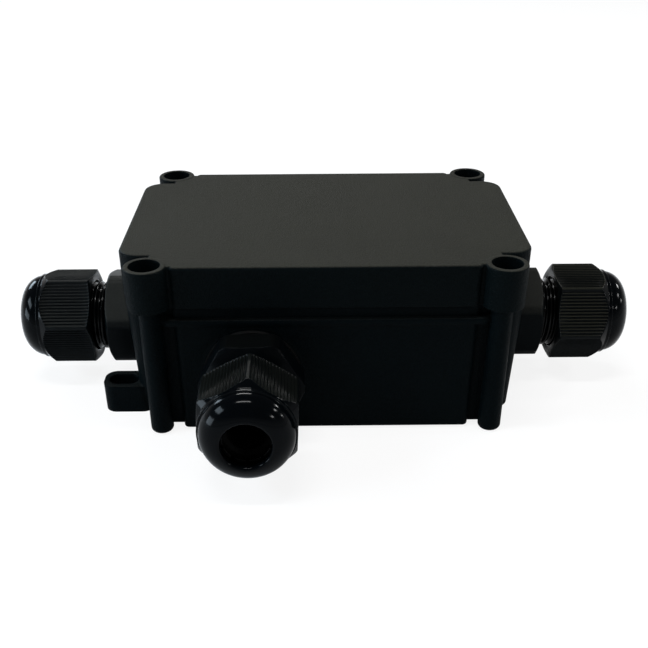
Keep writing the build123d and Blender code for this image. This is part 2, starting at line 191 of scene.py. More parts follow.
class SharedEffects:
    """The effects that several finishes use, each a node group that is built once."""

    def __init__(self) -> None:
        """Build the groups."""
        self.grain = self._grain()
        self.wear_and_highlight = self._edge_wear_and_highlight()
        self.dust = self._dust_and_top_light_masks()
        self.turning = self._turning()

    @staticmethod
    def _group(name: str, inputs: dict[str, float], outputs: tuple[str, ...]) -> NodeTree:
        """Start a group.

        Args:
            name: the group's name.
            inputs: its number inputs and their default values.
            outputs: its number outputs.

        Returns:
            The group's tree, with an input and an output node in it.
        """
        tree = bpy.data.node_groups.new(name, "ShaderNodeTree")
        for socket, value in inputs.items():
            item = tree.interface.new_socket(name=socket, in_out="INPUT", socket_type="NodeSocketFloat")
            item.default_value = value
        for socket in outputs:
            tree.interface.new_socket(name=socket, in_out="OUTPUT", socket_type="NodeSocketFloat")
        nodes = NodeTree(tree)
        nodes.add("NodeGroupInput", name="in")
        nodes.add("NodeGroupOutput", name="out")
        return nodes

    def _grain(self) -> bpy.types.NodeTree:
        """Spark-eroded grain of a mould: fine bumps and a slow cloud.

        Returns:
            The group, with outputs Height and Cloud.
        """
        nodes = self._group("moulded_grain", {"Cells per metre": 2600.0, "Softness": 0.5}, ("Height", "Cloud"))
        source, target = nodes.tree.nodes["in"], nodes.tree.nodes["out"]
        place = nodes.add("ShaderNodeTexCoord")
        pits = nodes.add("ShaderNodeTexVoronoi", feature="SMOOTH_F1", in_Smoothness=0.6)
        fine = nodes.add("ShaderNodeTexNoise", in_Detail=3.0, in_Roughness=0.6)
        slow = nodes.add("ShaderNodeTexNoise", in_Scale=38.0, in_Detail=4.0, in_Roughness=0.55)
        for texture in (pits, fine, slow):
            nodes.link(place.outputs["Object"], texture.inputs["Vector"])
        nodes.link(source.outputs["Cells per metre"], pits.inputs["Scale"])
        nodes.link(nodes.math("MULTIPLY", source.outputs["Cells per metre"], 0.7), fine.inputs["Scale"])
        soft = nodes.math("MULTIPLY", fine.outputs[0], source.outputs["Softness"])
        nodes.link(nodes.math("ADD", pits.outputs["Distance"], soft), target.inputs["Height"])
        nodes.link(slow.outputs[0], target.inputs["Cloud"])
        return nodes.tree

    def _edge_wear_and_highlight(self) -> bpy.types.NodeTree:
        """Edges worn smooth, which also carry painted highlights: 1 on sharp edges, broken up by noise.

        Returns:
            The group, with output Mask.
        """
        nodes = self._group("edge_rub_and_highlight", {"Width": 0.0006, "Amount": 1.0}, ("Mask",))
        source, target = nodes.tree.nodes["in"], nodes.tree.nodes["out"]
        bevel = nodes.add("ShaderNodeBevel", samples=6)
        nodes.link(source.outputs["Width"], bevel.inputs["Radius"])
        shape = nodes.add("ShaderNodeNewGeometry")
        alike = nodes.add("ShaderNodeVectorMath", operation="DOT_PRODUCT")
        nodes.link(bevel.outputs["Normal"], alike.inputs[0])
        nodes.link(shape.outputs["Normal"], alike.inputs[1])
        edge = nodes.remap(alike.outputs["Value"], 0.72, 0.995, 1.0, 0.0)
        noise = nodes.add("ShaderNodeTexNoise", in_Scale=420.0, in_Detail=3.0)
        place = nodes.add("ShaderNodeTexCoord")
        nodes.link(place.outputs["Object"], noise.inputs["Vector"])
        broken = nodes.remap(noise.outputs[0], 0.35, 0.65, 0.35, 1.0)
        mask = nodes.math("MULTIPLY", nodes.math("MULTIPLY", edge, broken), source.outputs["Amount"])
        nodes.link(mask, target.inputs["Mask"])
        return nodes.tree

    def _dust_and_top_light_masks(self) -> bpy.types.NodeTree:
        """Thin dust and handling marks on what faces up, and the masks of the painted light on top faces.

        Returns:
            The group, with outputs Mask, Upward for level faces and Skyward for sloping ones too; these two mask
            painted top light.
        """
        nodes = self._group("settled_dust_and_top_light_masks", {"Amount": 0.3}, ("Mask", "Upward", "Skyward"))
        source, target = nodes.tree.nodes["in"], nodes.tree.nodes["out"]
        shape = nodes.add("ShaderNodeNewGeometry")
        split = nodes.add("ShaderNodeSeparateXYZ")
        nodes.link(shape.outputs["Normal"], split.inputs[0])
        upward = nodes.remap(split.outputs["Z"], 0.72, 0.98, 0.0, 1.0)
        skyward = nodes.remap(split.outputs["Z"], 0.1, 0.65, 0.0, 1.0)
        place = nodes.add("ShaderNodeTexCoord")
        specks = nodes.add("ShaderNodeTexNoise", in_Scale=900.0, in_Detail=2.0)
        smears = nodes.add("ShaderNodeTexNoise", in_Scale=24.0, in_Detail=5.0, in_Roughness=0.65)
        for texture in (specks, smears):
            nodes.link(place.outputs["Object"], texture.inputs["Vector"])
        speck = nodes.remap(specks.outputs[0], 0.66, 0.74, 0.0, 0.6)
        smear = nodes.remap(smears.outputs[0], 0.42, 0.72, 0.0, 1.0)
        both = nodes.math("MAXIMUM", speck, smear)
        mask = nodes.math("MULTIPLY", nodes.math("MULTIPLY", both, upward), source.outputs["Amount"])
        nodes.link(mask, target.inputs["Mask"])
        nodes.link(upward, target.inputs["Upward"])
        nodes.link(skyward, target.inputs["Skyward"])
        return nodes.tree

    def _turning(self) -> bpy.types.NodeTree:
        """Fine tool marks that stretch along one direction.

        Returns:
            The group, with output Height.
        """
        nodes = self._group("tool_marks", {"Lines per metre": 9000.0}, ("Height",))
        source, target = nodes.tree.nodes["in"], nodes.tree.nodes["out"]
        place = nodes.add("ShaderNodeTexCoord")
        stretch = nodes.add("ShaderNodeMapping")
        stretch.inputs["Scale"].default_value = (1.0, 1.0, 0.12)
        noise = nodes.add("ShaderNodeTexNoise", in_Detail=2.0)
        nodes.link(place.outputs["Object"], stretch.inputs["Vector"])
        nodes.link(stretch.outputs["Vector"], noise.inputs["Vector"])
        nodes.link(source.outputs["Lines per metre"], noise.inputs["Scale"])
        nodes.link(noise.outputs[0], target.inputs["Height"])
        return nodes.tree


@dataclass(frozen=True)
class MouldedPlastic:
    """A moulded plastic or rubber: tone, gloss, grain, dust, worn edges with painted highlights, and painted light on
    top faces.
    """

    name: str
    tone: Colour
    painted_top_light_tone: Colour
    wear_and_highlight_tone: Colour
    dust_tone: Colour
    roughness: float
    rubbed_roughness: float
    specular: float
    grain_per_metre: float
    grain_depth: float
    grain_tone: float
    cloud: float
    edge_width: float
    blend_width: float
    wear_and_highlight: float
    dust: float
    painted_top_light_mask: str = "Upward"

    def build(self, effects: SharedEffects) -> bpy.types.Material:
        """Make the material.

        Args:
            effects: the shared node groups.

        Returns:
            The material.
        """
        material = bpy.data.materials.new(self.name)
        material.use_nodes = True
        nodes = NodeTree(material.node_tree)
        shader = material.node_tree.nodes["Principled BSDF"]
        shader.inputs["Specular IOR Level"].default_value = self.specular
        grain = nodes.add("ShaderNodeGroup", node_tree=effects.grain)
        grain.inputs["Cells per metre"].default_value = self.grain_per_metre
        wear_and_highlight = nodes.add("ShaderNodeGroup", node_tree=effects.wear_and_highlight)
        wear_and_highlight.inputs["Width"].default_value = self.edge_width
        wear_and_highlight.inputs["Amount"].default_value = self.wear_and_highlight
        dust = nodes.add("ShaderNodeGroup", node_tree=effects.dust)
        dust.inputs["Amount"].default_value = self.dust
        cloudy = nodes.remap(grain.outputs["Cloud"], 0.3, 0.7, 1.0 - self.cloud, 1.0 + self.cloud)
        speckled = nodes.remap(grain.outputs["Height"], 0.3, 0.9, 1.0 - self.grain_tone, 1.0 + self.grain_tone)
        # Painted light: faces that look up get the lighter top tone in place of the plain tone.
        painted_top_lit = nodes.mix(dust.outputs[self.painted_top_light_mask], self.tone, self.painted_top_light_tone)
        grained = nodes.scale(painted_top_lit, nodes.math("MULTIPLY", cloudy, speckled))
        # Partly worn edges, partly painted highlight: sharp edges get the lighter edge tone.
        worn_and_highlit = nodes.mix(wear_and_highlight.outputs["Mask"], grained, self.wear_and_highlight_tone)
        nodes.link(nodes.mix(dust.outputs["Mask"], worn_and_highlit, self.dust_tone), shader.inputs["Base Color"])
        spread = nodes.remap(grain.outputs["Cloud"], 0.3, 0.7, self.roughness * 0.92, self.roughness * 1.08)
        worn = nodes.math("MULTIPLY", wear_and_highlight.outputs["Mask"], self.rubbed_roughness - self.roughness)
        dusty = nodes.math("MULTIPLY", dust.outputs["Mask"], 0.35)
        rough = nodes.math("ADD", nodes.math("ADD", spread, worn), dusty)
        nodes.link(rough, shader.inputs["Roughness"])
        bevel = nodes.add("ShaderNodeBevel", samples=6)
        bevel.inputs["Radius"].default_value = self.blend_width
        bump = nodes.add("ShaderNodeBump")
        bump.inputs["Strength"].default_value = 1.0
        bump.inputs["Distance"].default_value = self.grain_depth
        nodes.link(grain.outputs["Height"], bump.inputs["Height"])
        nodes.link(bevel.outputs["Normal"], bump.inputs["Normal"])
        nodes.link(bump.outputs["Normal"], shader.inputs["Normal"])
        return material


@dataclass(frozen=True)
class TurnedMetal:
    """A turned or plated metal: its tone, polish, tool marks and dull patches at random."""

    name: str
    tone: Colour
    dull_tone: Colour
    roughness: float
    marks_per_metre: float
    mark_depth: float

    def build(self, effects: SharedEffects) -> bpy.types.Material:
        """Make the material.

        Args:
            effects: the shared node groups.

        Returns:
            The material.
        """
        material = bpy.data.materials.new(self.name)
        material.use_nodes = True
        nodes = NodeTree(material.node_tree)
        shader = material.node_tree.nodes["Principled BSDF"]
        shader.inputs["Metallic"].default_value = 1.0
        marks = nodes.add("ShaderNodeGroup", node_tree=effects.turning)
        marks.inputs["Lines per metre"].default_value = self.marks_per_metre
        grain = nodes.add("ShaderNodeGroup", node_tree=effects.grain)
        dulled = nodes.remap(grain.outputs["Cloud"], 0.4, 0.65, 0.0, 0.8)
        nodes.link(nodes.mix(dulled, self.tone, self.dull_tone), shader.inputs["Base Color"])
        spread = nodes.remap(marks.outputs["Height"], 0.3, 0.7, self.roughness * 0.8, self.roughness * 1.25)
        nodes.link(spread, shader.inputs["Roughness"])
        bump = nodes.add("ShaderNodeBump")
        bump.inputs["Distance"].default_value = self.mark_depth
        nodes.link(marks.outputs["Height"], bump.inputs["Height"])
        nodes.link(bump.outputs["Normal"], shader.inputs["Normal"])
        return material


# In each finish the top tone is painted light: a lighter colour on the faces that look up.
LID_PLASTIC = MouldedPlastic(
    name="grained_lid_plastic", tone=(0.0008, 0.0018, 0.0021, 1.0), painted_top_light_tone=(0.0152, 0.0152, 0.0122, 1.0),
    wear_and_highlight_tone=(0.01, 0.0108, 0.01, 1.0), dust_tone=(0.035, 0.034, 0.03, 1.0),
    roughness=0.5, rubbed_roughness=0.4, specular=0.02,
    grain_per_metre=2600.0, grain_depth=0.00012, grain_tone=0.16, cloud=0.1,
    edge_width=0.0004, blend_width=0.0005, wear_and_highlight=0.3, dust=0.14,
)
BASE_PLASTIC = MouldedPlastic(
    name="smooth_base_plastic", tone=(0.0007, 0.0017, 0.0021, 1.0), painted_top_light_tone=(0.004, 0.005, 0.005, 1.0),
    wear_and_highlight_tone=(0.004, 0.0055, 0.006, 1.0), dust_tone=(0.012, 0.012, 0.011, 1.0),
    roughness=0.42, rubbed_roughness=0.32, specular=0.016,
    grain_per_metre=2300.0, grain_depth=0.00008, grain_tone=0.2, cloud=0.15,
    edge_width=0.0004, blend_width=0.0014, wear_and_highlight=0.35, dust=0.06,
)
# On the dome the lighter edge tone is mostly a painted highlight along the ring's edge.
DOME_NYLON = MouldedPlastic(
    name="glossy_dome_nylon", tone=(0.0005, 0.0009, 0.0013, 1.0), painted_top_light_tone=(0.0005, 0.0008, 0.0012, 1.0),
    wear_and_highlight_tone=(0.016, 0.021, 0.023, 1.0), dust_tone=(0.008, 0.008, 0.008, 1.0),
    roughness=0.11, rubbed_roughness=0.1, specular=0.04,
    grain_per_metre=900.0, grain_depth=0.000004, grain_tone=0.05, cloud=0.1,
    edge_width=0.0003, blend_width=0.0002, wear_and_highlight=0.8, dust=0.02,
)
RIB_NYLON = MouldedPlastic(
    name="satin_rib_nylon", tone=(0.0014, 0.0022, 0.0026, 1.0), painted_top_light_tone=(0.011, 0.0115, 0.0105, 1.0),
    wear_and_highlight_tone=(0.014, 0.0155, 0.015, 1.0), dust_tone=(0.02, 0.02, 0.019, 1.0),
    roughness=0.34, rubbed_roughness=0.28, specular=0.05,
    grain_per_metre=1600.0, grain_depth=0.00001, grain_tone=0.08, cloud=0.1,
    edge_width=0.00025, blend_width=0.00012, wear_and_highlight=0.5, dust=0.04,
)
BODY_NYLON = MouldedPlastic(
    name="satin_body_nylon", tone=(0.0007, 0.0014, 0.0018, 1.0), painted_top_light_tone=(0.011, 0.0115, 0.0105, 1.0),
    wear_and_highlight_tone=(0.003, 0.004, 0.0045, 1.0), dust_tone=(0.012, 0.012, 0.011, 1.0),
    roughness=0.36, rubbed_roughness=0.28, specular=0.025,
    grain_per_metre=1500.0, grain_depth=0.00001, grain_tone=0.08, cloud=0.15,
    edge_width=0.00025, blend_width=0.00025, wear_and_highlight=0.3, dust=0.05, painted_top_light_mask="Skyward",
)
# The right nut's copy, with brighter and warmer painted light on its top faces.
WARM_TOP_LIT_RIB_NYLON = replace(RIB_NYLON, name="warm_top_lit_rib_nylon", painted_top_light_tone=(0.019, 0.019, 0.0135, 1.0))
# Darker copies for the front gland: painted shade under the lid in the tone and top tone, with lighter painted
# highlights along the nut's edges.
PAINTED_SHADE_RIB_NYLON = MouldedPlastic(
    name="painted_shade_rib_nylon", tone=(0.0011, 0.0017, 0.0019, 1.0), painted_top_light_tone=(0.0035, 0.0042, 0.0038, 1.0),
    wear_and_highlight_tone=(0.022, 0.023, 0.02, 1.0), dust_tone=(0.012, 0.012, 0.011, 1.0),
    roughness=0.34, rubbed_roughness=0.28, specular=0.07,
    grain_per_metre=1600.0, grain_depth=0.00001, grain_tone=0.12, cloud=0.15,
    edge_width=0.00018, blend_width=0.00008, wear_and_highlight=0.8, dust=0.03,
)
PAINTED_SHADE_BODY_NYLON = MouldedPlastic(
    name="painted_shade_body_nylon", tone=(0.0006, 0.001, 0.0013, 1.0), painted_top_light_tone=(0.0015, 0.0018, 0.0018, 1.0),
    wear_and_highlight_tone=(0.006, 0.007, 0.007, 1.0), dust_tone=(0.006, 0.006, 0.0055, 1.0),
    roughness=0.34, rubbed_roughness=0.26, specular=0.02,
    grain_per_metre=1500.0, grain_depth=0.00001, grain_tone=0.08, cloud=0.15,
    edge_width=0.0003, blend_width=0.00025, wear_and_highlight=0.5, dust=0.03,
)
THREAD_NYLON = MouldedPlastic(
    name="glossy_thread_nylon", tone=(0.0003, 0.0005, 0.0006, 1.0), painted_top_light_tone=(0.0004, 0.0005, 0.0006, 1.0),
    wear_and_highlight_tone=(0.0006, 0.0008, 0.001, 1.0), dust_tone=(0.003, 0.003, 0.003, 1.0),
    roughness=0.19, rubbed_roughness=0.18, specular=0.08,
    grain_per_metre=1200.0, grain_depth=0.000004, grain_tone=0.05, cloud=0.1,
    edge_width=0.0002, blend_width=0.0002, wear_and_highlight=0.1, dust=0.01,
)
CAGE_NYLON = MouldedPlastic(
    name="cage_nylon", tone=(0.0008, 0.001, 0.0012, 1.0), painted_top_light_tone=(0.001, 0.0012, 0.0012, 1.0),
    wear_and_highlight_tone=(0.003, 0.003, 0.003, 1.0), dust_tone=(0.008, 0.008, 0.008, 1.0),
    roughness=0.25, rubbed_roughness=0.2, specular=0.08,
    grain_per_metre=1200.0, grain_depth=0.00001, grain_tone=0.05, cloud=0.1,
    edge_width=0.0002, blend_width=0.0002, wear_and_highlight=0.3, dust=0.0,
)
SEAL_RUBBER = MouldedPlastic(
    name="seal_rubber", tone=(0.0015, 0.0016, 0.0016, 1.0), painted_top_light_tone=(0.003, 0.003, 0.003, 1.0),
    wear_and_highlight_tone=(0.005, 0.005, 0.005, 1.0), dust_tone=(0.015, 0.015, 0.014, 1.0),
    roughness=0.72, rubbed_roughness=0.6, specular=0.04,
    grain_per_metre=1800.0, grain_depth=0.00004, grain_tone=0.15, cloud=0.2,
    edge_width=0.0002, blend_width=0.0002, wear_and_highlight=0.3, dust=0.1,
)
TERMINAL_NYLON = MouldedPlastic(
    name="natural_terminal_nylon", tone=(0.62, 0.6, 0.54, 1.0), painted_top_light_tone=(0.64, 0.62, 0.56, 1.0),
    wear_and_highlight_tone=(0.74, 0.73, 0.68, 1.0), dust_tone=(0.5, 0.48, 0.42, 1.0),
    roughness=0.38, rubbed_roughness=0.3, specular=0.4,
    grain_per_metre=900.0, grain_depth=0.00002, grain_tone=0.04, cloud=0.06,
    edge_width=0.0003, blend_width=0.0003, wear_and_highlight=0.4, dust=0.1,
)
BRASS = TurnedMetal(
    name="turned_brass", tone=(0.72, 0.5, 0.2, 1.0), dull_tone=(0.5, 0.34, 0.14, 1.0), roughness=0.28,
    marks_per_metre=9000.0, mark_depth=0.00002,
)
PLATED_STEEL = TurnedMetal(
    name="zinc_plated_steel", tone=(0.62, 0.63, 0.64, 1.0), dull_tone=(0.4, 0.41, 0.43, 1.0), roughness=0.32,
    marks_per_metre=7000.0, mark_depth=0.00002,
)


@dataclass(frozen=True)
class Seat:
    """Where a gland stands: its pad's centre, and the directions out of the box and up."""

    origin: Vector
    outward: Vector

    @classmethod
    def from_frame(cls, side: Side) -> "Seat":
        """Find a gland's seat from its washer, which lies flat on the pad.

        Args:
            side: the gland's wall.

        Returns:
            The seat.
        """
        low, high = (Vector(corner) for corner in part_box(f"{side.prefix}_gland_washer"))
        middle = (low + high) / 2
        half = (high - low) / 2
        reach = sum(abs(side.outward[axis]) * half[axis] for axis in range(3))
        return cls(middle - side.outward * reach, side.outward)

    def matrix(self) -> Matrix:
        """The matrix from the gland's own space, x up and z outward, to the part's."""
        up = Vector((0.0, 0.0, 1.0))
        across = self.outward.cross(up)
        turned = Matrix((up, across, self.outward)).transposed().to_4x4()
        return Matrix.Translation(self.origin) @ turned


def ring_mesh(name: str, rows: list[list[tuple[float, float]]], angles: list[float], seat: Seat,
              ) -> bpy.types.Object:
    """Make a closed ring-shaped body from rows of points round a gland's axis.

    Args:
        name: the new object's name.
        rows: for each row, one radius and distance along the axis for each angle, in millimetres.
        angles: the angles round the axis, from straight up, in radians.
        seat: where the gland stands.

    Returns:
        The object, smooth shaded, with its place in its mesh.
    """
    place = seat.matrix()
    vertices = []
    for row in rows:
        for angle, (radius, along) in zip(angles, row):
            point = Vector((radius * math.cos(angle), radius * math.sin(angle), along)) * MM
            vertices.append(place @ point)
    count = len(angles)
    faces = []
    for row in range(len(rows)):
        here, there = row * count, (row + 1) % len(rows) * count
        for step in range(count):
            ahead = (step + 1) % count
            faces.append((here + step, here + ahead, there + ahead, there + step))
    mesh = bpy.data.meshes.new(name)
    mesh.from_pydata(vertices, [], faces)
    mesh.validate()
    body = bmesh.new()
    body.from_mesh(mesh)
    bmesh.ops.recalc_face_normals(body, faces=body.faces)
    body.to_mesh(mesh)
    body.free()
    mesh.shade_smooth()
    piece = bpy.data.objects.new(name, mesh)
    bpy.context.collection.objects.link(piece)
    return piece


def soft_min(values: tuple[float, ...], blend: float) -> float:
    """The lowest of some values, rounded where two of them meet.

    Args:
        values: the values.
        blend: how far the rounding reaches.

    Returns:
        The rounded minimum.
    """
    lowest = min(values)
    total = sum(math.exp((lowest - value) / blend) for value in values)
    return lowest - blend * math.log(total)


def hexagon_reach(angle: float, flats: float, corner_cut: float, blend: float) -> float:
    """Distance from the centre to a hexagon with rounded, cut corners.

    Args:
        angle: the direction, in radians, from one of its corners.
        flats: width across flats.
        corner_cut: how much of each side the cut takes.
        blend: how far the rounding reaches.

    Returns:
        The distance.
    """
    sixth = math.pi / 3
    from_corner = (angle + sixth / 2) % sixth - sixth / 2
    from_flat = sixth / 2 - abs(from_corner)
    corner = flats / math.sqrt(3) - corner_cut * math.cos(sixth)
    return soft_min((flats / 2 / math.cos(from_flat), corner / math.cos(from_corner)), blend)


def arc(centre: tuple[float, float], radii: tuple[float, float], start: float, end: float, steps: int,
        ) -> list[tuple[float, float]]:
    """Points on part of an ellipse in a profile.

    Args:
        centre: radius and distance along of its centre.
        radii: its half axes, across and along.
        start: first angle in degrees, from outward across.
        end: last angle in degrees.
        steps: number of steps between them.

    Returns:
        The points, each a radius and a distance along.
    """
    points = []
    for step in range(steps + 1):
        angle = math.radians(start + (end - start) * step / steps)
        points.append((centre[0] + radii[0] * math.cos(angle), centre[1] + radii[1] * math.sin(angle)))
    return points


@dataclass
class GlandNut:
    """Clamping nut: ribbed hexagon, bevelled shoulder, plain ring and glossy dome. Sizes in millimetres."""

    turn: float
    back: float = 13.15
    flats: float = 24.4
    corner_cut: float = 0.5
    ribs: int = 14
    rib_depth: float = 0.45
    rib_samples: int = 8
    rib_fade: float = 0.35
    rib_end: float = 27.55
    back_bevel: float = 0.8
    shoulder: float = 2.3
    shoulder_gap: float = 0.12
    ring_length: float = 0.9
    ring_step: float = 0.45
    tip: float = 34.35
    crown_r: float = 5.2
    opening_r: float = 6.1
    lip_round: float = 0.7
    land: float = 1.6
    bore_r: float = 10.1
    bore_end: float = 25.75
    edge_blend: float = 0.07

    def angles(self) -> list[float]:
        """Angles round the axis: several for each rib, and a few more round each corner.

        Returns:
            The angles in radians, rising.
        """
        half_side = self.flats / 2 * math.tan(math.pi / 6)
        half_ribbed = half_side - self.corner_cut
        steps = self.ribs * self.rib_samples
        offsets = [half_ribbed * (2 * step / steps - 1) for step in range(steps + 1)]
        corner_steps = 5
        offsets += [half_ribbed + (half_side - half_ribbed) * step / corner_steps for step in range(1, corner_steps)]
        offsets += [-offset for offset in offsets if offset > half_ribbed]
        found = []
        for flat in range(6):
            middle = math.radians(self.turn + 60 * flat + 30)
            found += [middle + math.atan2(offset, self.flats / 2) for offset in offsets]
            found.append(middle + math.pi / 6)
        return sorted(angle % (2 * math.pi) for angle in found)

    def rib_height(self, angle: float) -> float:
        """Depth below the flat at an angle: 0 on the crest of a rib, full depth between two.

        Args:
            angle: the direction, in radians, from one of the corners.

        Returns:
            The depth.
        """
        sixth = math.pi / 3
        from_flat = angle % sixth - sixth / 2
        offset = self.flats / 2 * math.tan(from_flat)
        half_ribbed = self.flats / 2 * math.tan(math.pi / 6) - self.corner_cut
        if abs(offset) >= half_ribbed:
            return 0.0
        phase = (offset + half_ribbed) / (2 * half_ribbed) * self.ribs
        return self.rib_depth * (0.5 - 0.5 * math.cos(2 * math.pi * phase)) ** 0.7

    def side_rows(self, angles: list[float]) -> list[list[tuple[float, float]]]:
        """Rows of the back face, its bevel and the ribbed flats, up to the edge of the shoulder.

        Args:
            angles: the angles round the axis.

        Returns:
            For each row, a radius and a distance along the axis for each angle.
        """
        flat_r = self.flats / 2
        rows = [[(self.bore_r + 0.3, self.back)] * len(angles), [(flat_r - 0.12, self.back)] * len(angles)]
        bevel, ribbed = [], [[] for _ in range(9)]
        for angle in angles:
            reach, height = self.reach(angle)
            start = self.back + 0.05 + height * self.back_bevel
            end = self.shoulder_start(height)
            bevel.append((reach - 0.02, start - 0.02))
            groove = self.rib_height(angle - math.radians(self.turn))
            steps = (0.05, 0.18, self.rib_fade)
            places = [start + step for step in steps]
            places += [start + (end - start) * share for share in (0.25, 0.5, 0.75)]
            places += [end - step for step in reversed(steps)]
            for row, place, share in zip(ribbed, places, (0.0, 0.6, 1.0, 1.0, 1.0, 1.0, 1.0, 0.6, 0.0)):
                row.append((reach - share * groove, place))
        return rows + [bevel] + ribbed

    def reach(self, angle: float) -> tuple[float, float]:
        """Radius of the plain hexagon, and its share of the way from a flat to a corner.

        Args:
            angle: the direction, in radians, from straight up.

        Returns:
            The radius and the share.
        """
        turn = math.radians(self.turn)
        radius = hexagon_reach(angle - turn, self.flats, self.corner_cut, self.edge_blend)
        rise = self.flats / math.sqrt(3) - self.flats / 2
        return radius, max(0.0, radius - self.flats / 2) / rise

    def shoulder_start(self, height: float) -> float:
        """Distance along the axis at which the shoulder's bevel starts, for a share of the corners' height."""
        return self.rib_end - self.shoulder_gap - height * self.shoulder

    def front_rows(self, angles: list[float]) -> list[list[tuple[float, float]]]:
        """Rows of the shoulder, the plain ring, the dome, its lip and the bore.

        Args:
            angles: the angles round the axis.

        Returns:
            For each row, a radius and a distance along the axis for each angle.
        """
        shares = (0.02, 0.08, 0.3, 0.6, 0.9, 1.0)
        rows = [[] for _ in shares]
        for angle in angles:
            reach, height = self.reach(angle)
            start = self.shoulder_start(height)
            for row, share in zip(rows, shares):
                row.append((reach + (self.flats / 2 - reach) * share, start + (self.rib_end - start) * share))
        ring_r = self.flats / 2
        ring_end = self.rib_end + self.ring_length
        dome_r = ring_r - self.ring_step
        fillet = 0.12
        profile = [(ring_r, self.rib_end + fillet)]
        profile += arc((ring_r - fillet, ring_end - fillet), (fillet, fillet), 0, 90, 3)
        profile += [(dome_r + 0.04, ring_end + 0.01)]
        lip_r = self.opening_r + self.lip_round
        lip_angle = math.degrees(math.acos((lip_r - self.crown_r) / (dome_r - self.crown_r)))
        profile += arc((self.crown_r, ring_end), (dome_r - self.crown_r, self.tip - ring_end), 1, lip_angle, 26)
        lip_top = profile[-1][1]
        lip_centre = (lip_r, lip_top - self.lip_round)
        profile += arc(lip_centre, (self.lip_round, self.lip_round), 100, 180, 8)
        profile += [(self.opening_r, self.tip - self.land), (self.bore_r, self.bore_end)]
        profile += [(self.bore_r, self.back + 0.6), (self.bore_r + 0.1, self.back + 0.2)]
        rows += [[point] * len(angles) for point in profile]
        return rows

    def build(self, side: Side, seat: Seat, finishes: tuple[bpy.types.Material, ...]) -> bpy.types.Object:
        """Make the nut in place of its plain solid.

        Args:
            side: the gland's wall.
            seat: where the gland stands.
            finishes: the materials of its ribbed hexagon and of its shoulder, ring and dome.

        Returns:
            The nut.
        """
        angles = self.angles()
        ribbed = self.side_rows(angles)
        piece = ring_mesh(f"{side.prefix}_ribbed_nut", ribbed + self.front_rows(angles), angles, seat)
        for finish in finishes:
            piece.data.materials.append(finish)
        for face in piece.data.polygons:
            face.material_index = int(face.index // len(angles) >= len(ribbed))
        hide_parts(f"{side.prefix}_gland_nut")
        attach(piece, f"{side.prefix}_nut")
        return piece


